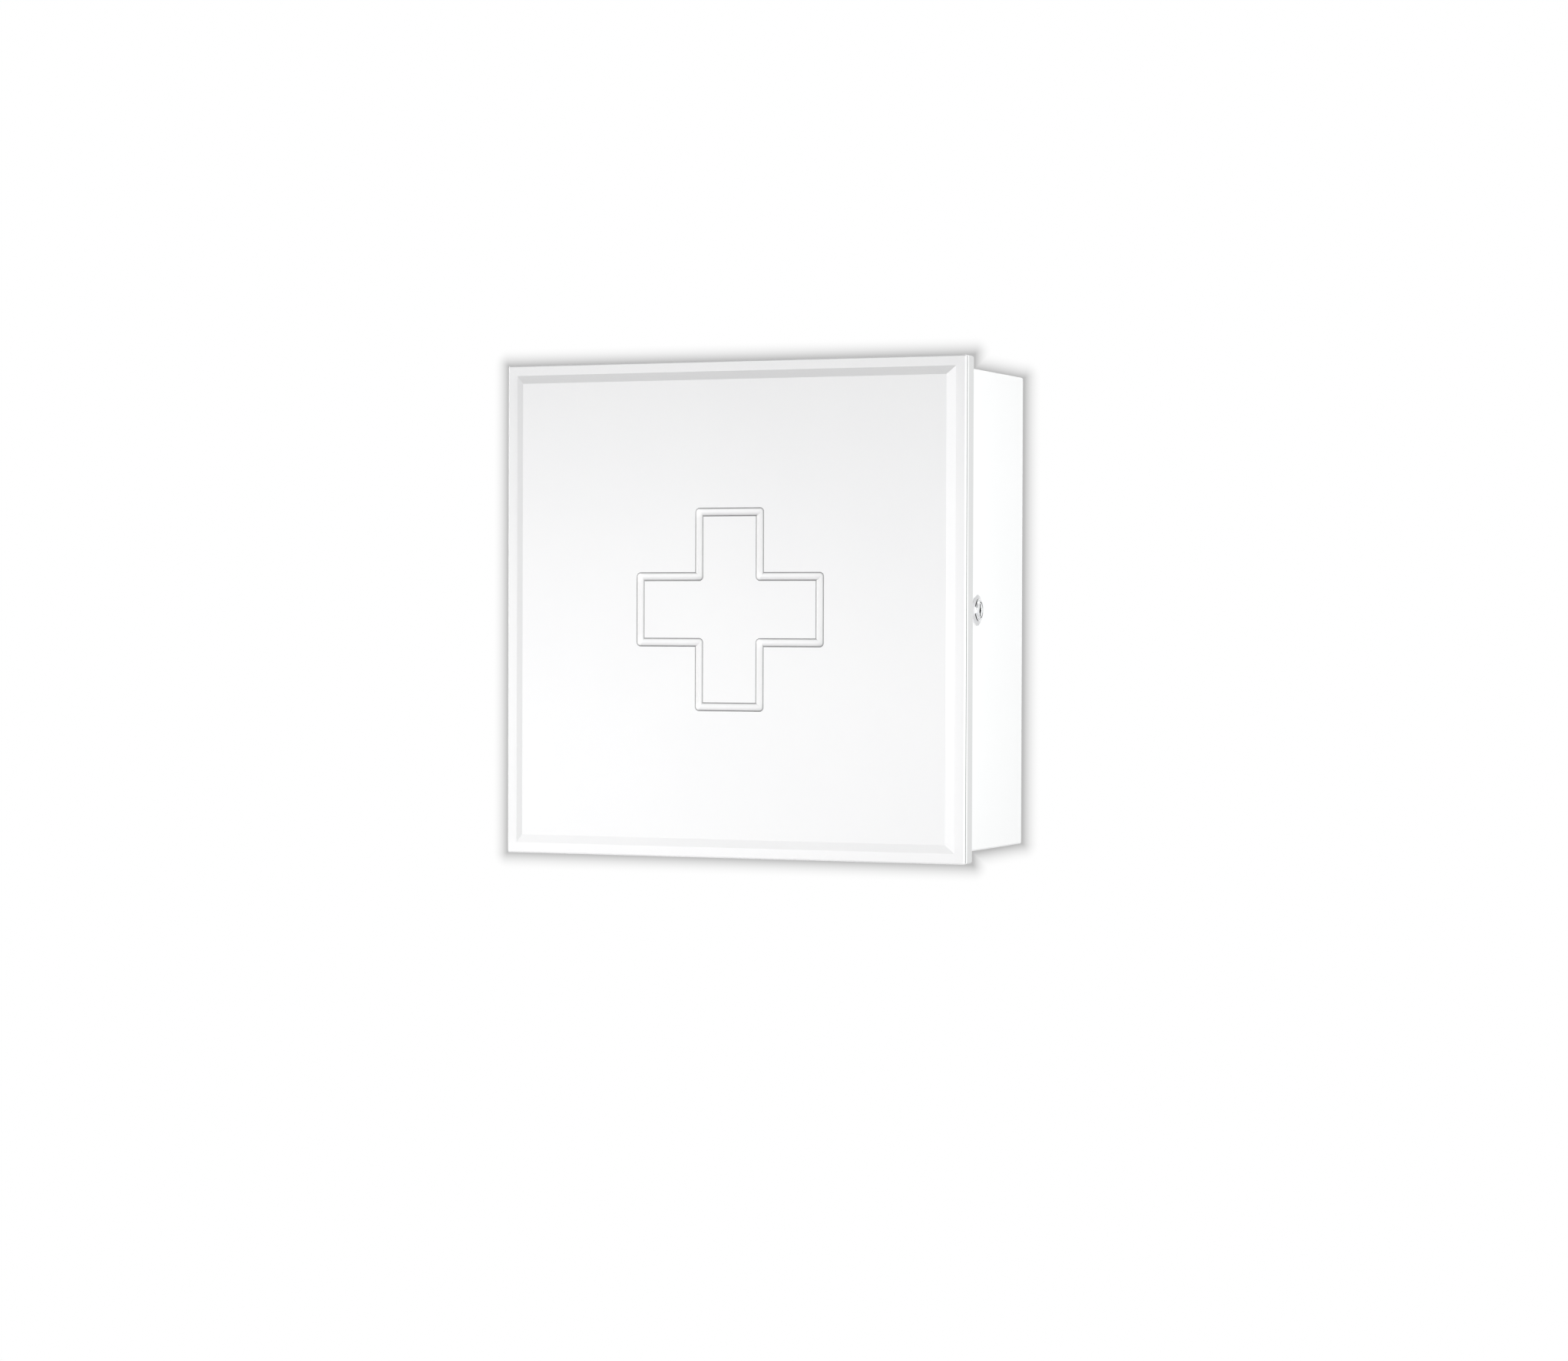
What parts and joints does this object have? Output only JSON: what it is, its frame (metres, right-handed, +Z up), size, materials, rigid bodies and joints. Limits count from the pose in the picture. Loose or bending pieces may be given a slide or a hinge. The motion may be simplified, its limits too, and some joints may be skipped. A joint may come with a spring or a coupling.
{
  "type": "lockable medicine cabinet",
  "caption": "Square white wall cabinet with a hinged door that has a raised panel and a routed cross, and a cam lock in its right side wall.",
  "frame": {"origin": "centre of the back face, which lies on the wall, midway between the four screw holes", "axes": "+X to the right as seen from the front, +Y into the wall, +Z up; the door faces -Y"},
  "size_m": [0.3, 0.125, 0.3],
  "materials": {
    "powder_coat": "white powder coat with a fine orange-peel texture, satin",
    "board_lacquer": "routed board sprayed with satin white lacquer",
    "zinc": "bright zinc plate",
    "chrome": "polished chrome plate",
    "brass": "plain stamped brass",
    "rubber": "soft grey rubber"
  },
  "bodies": {
    "cabinet": {"body_back": "powder_coat", "body_front_frame": "powder_coat", "body_left_side": "powder_coat", "body_right_side": "powder_coat", "body_top": "powder_coat", "body_bottom": "powder_coat", "upper_shelf": "powder_coat", "lower_shelf": "powder_coat", "shelf_brackets": "powder_coat", "door_buffers": "rubber", "upper_hinge_body_leaf": "zinc", "upper_hinge_pin": "zinc", "lower_hinge_body_leaf": "zinc", "lower_hinge_pin": "zinc", "hinge_body_rivets": "zinc", "lock_housing": "chrome", "lock_washer": "zinc", "lock_nut": "zinc"},
    "door": {"door_pan": "powder_coat", "door_front_board": "board_lacquer", "upper_hinge_door_leaf": "zinc", "lower_hinge_door_leaf": "zinc", "hinge_door_rivets": "zinc", "strike_bracket": "zinc", "strike_rivets": "zinc"},
    "lock_core": {"lock_plug": "chrome", "lock_wafers": "brass", "lock_cam": "zinc", "cam_washer": "zinc", "cam_screw": "zinc"}
  },
  "joints": [
    {"name": "door_swing", "type": "hinge", "parent": "cabinet", "child": "door", "pos_m": [-0.1467, -0.1051, 0], "axis": [0, 0, -1], "range_deg": [0, 150]},
    {"name": "lock_turn", "type": "hinge", "parent": "cabinet", "child": "lock_core", "pos_m": [0.1438, -0.085, 0], "axis": [-1, 0, 0], "range_deg": [0, 180]}
  ]
}
